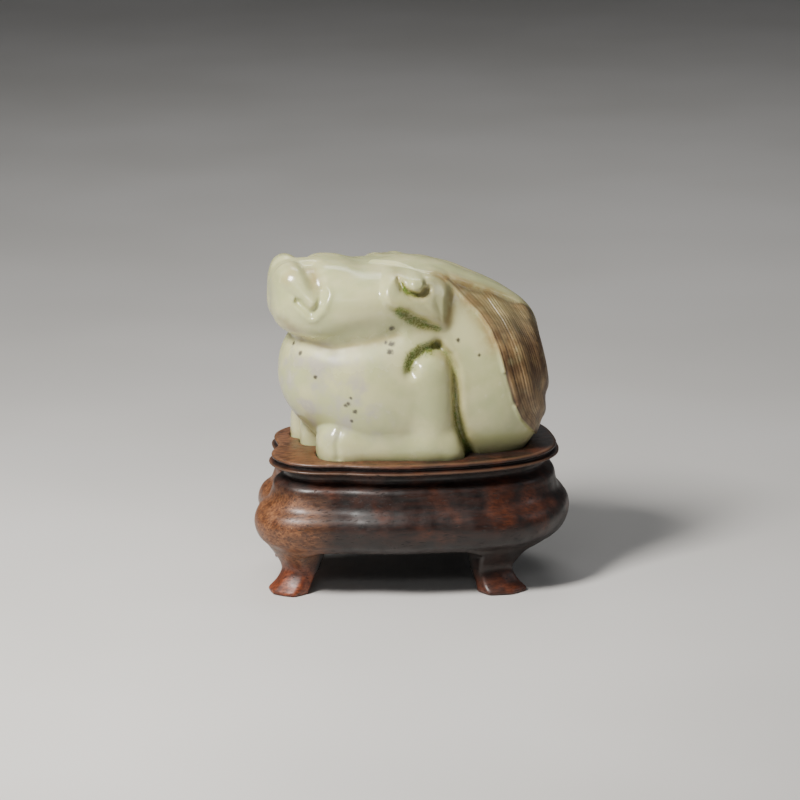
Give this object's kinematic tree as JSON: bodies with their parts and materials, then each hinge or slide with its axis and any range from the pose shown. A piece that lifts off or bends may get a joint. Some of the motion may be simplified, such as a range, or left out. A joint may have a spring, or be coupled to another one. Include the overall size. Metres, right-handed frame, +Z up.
{
  "type": "jade lion carving on stand",
  "caption": "Small carved jade lion, lying with its head raised, set in a fitted hardwood stand with bracket feet.",
  "frame": {"origin": "on the table, under the middle of the stand", "axes": "+Z up, -X toward the lion's head, -Y toward the side that is seen first"},
  "size_m": [0.0736, 0.052, 0.0746],
  "materials": {
    "jade": "polished pale green nephrite, with a russet lock on the back and dark green dirt in the creases",
    "stand_wood": "dark polished hardwood, worn redder on the feet and edges"
  },
  "bodies": {
    "root": {"jade_lion": "jade", "wood_stand": "stand_wood"}
  },
  "joints": []
}
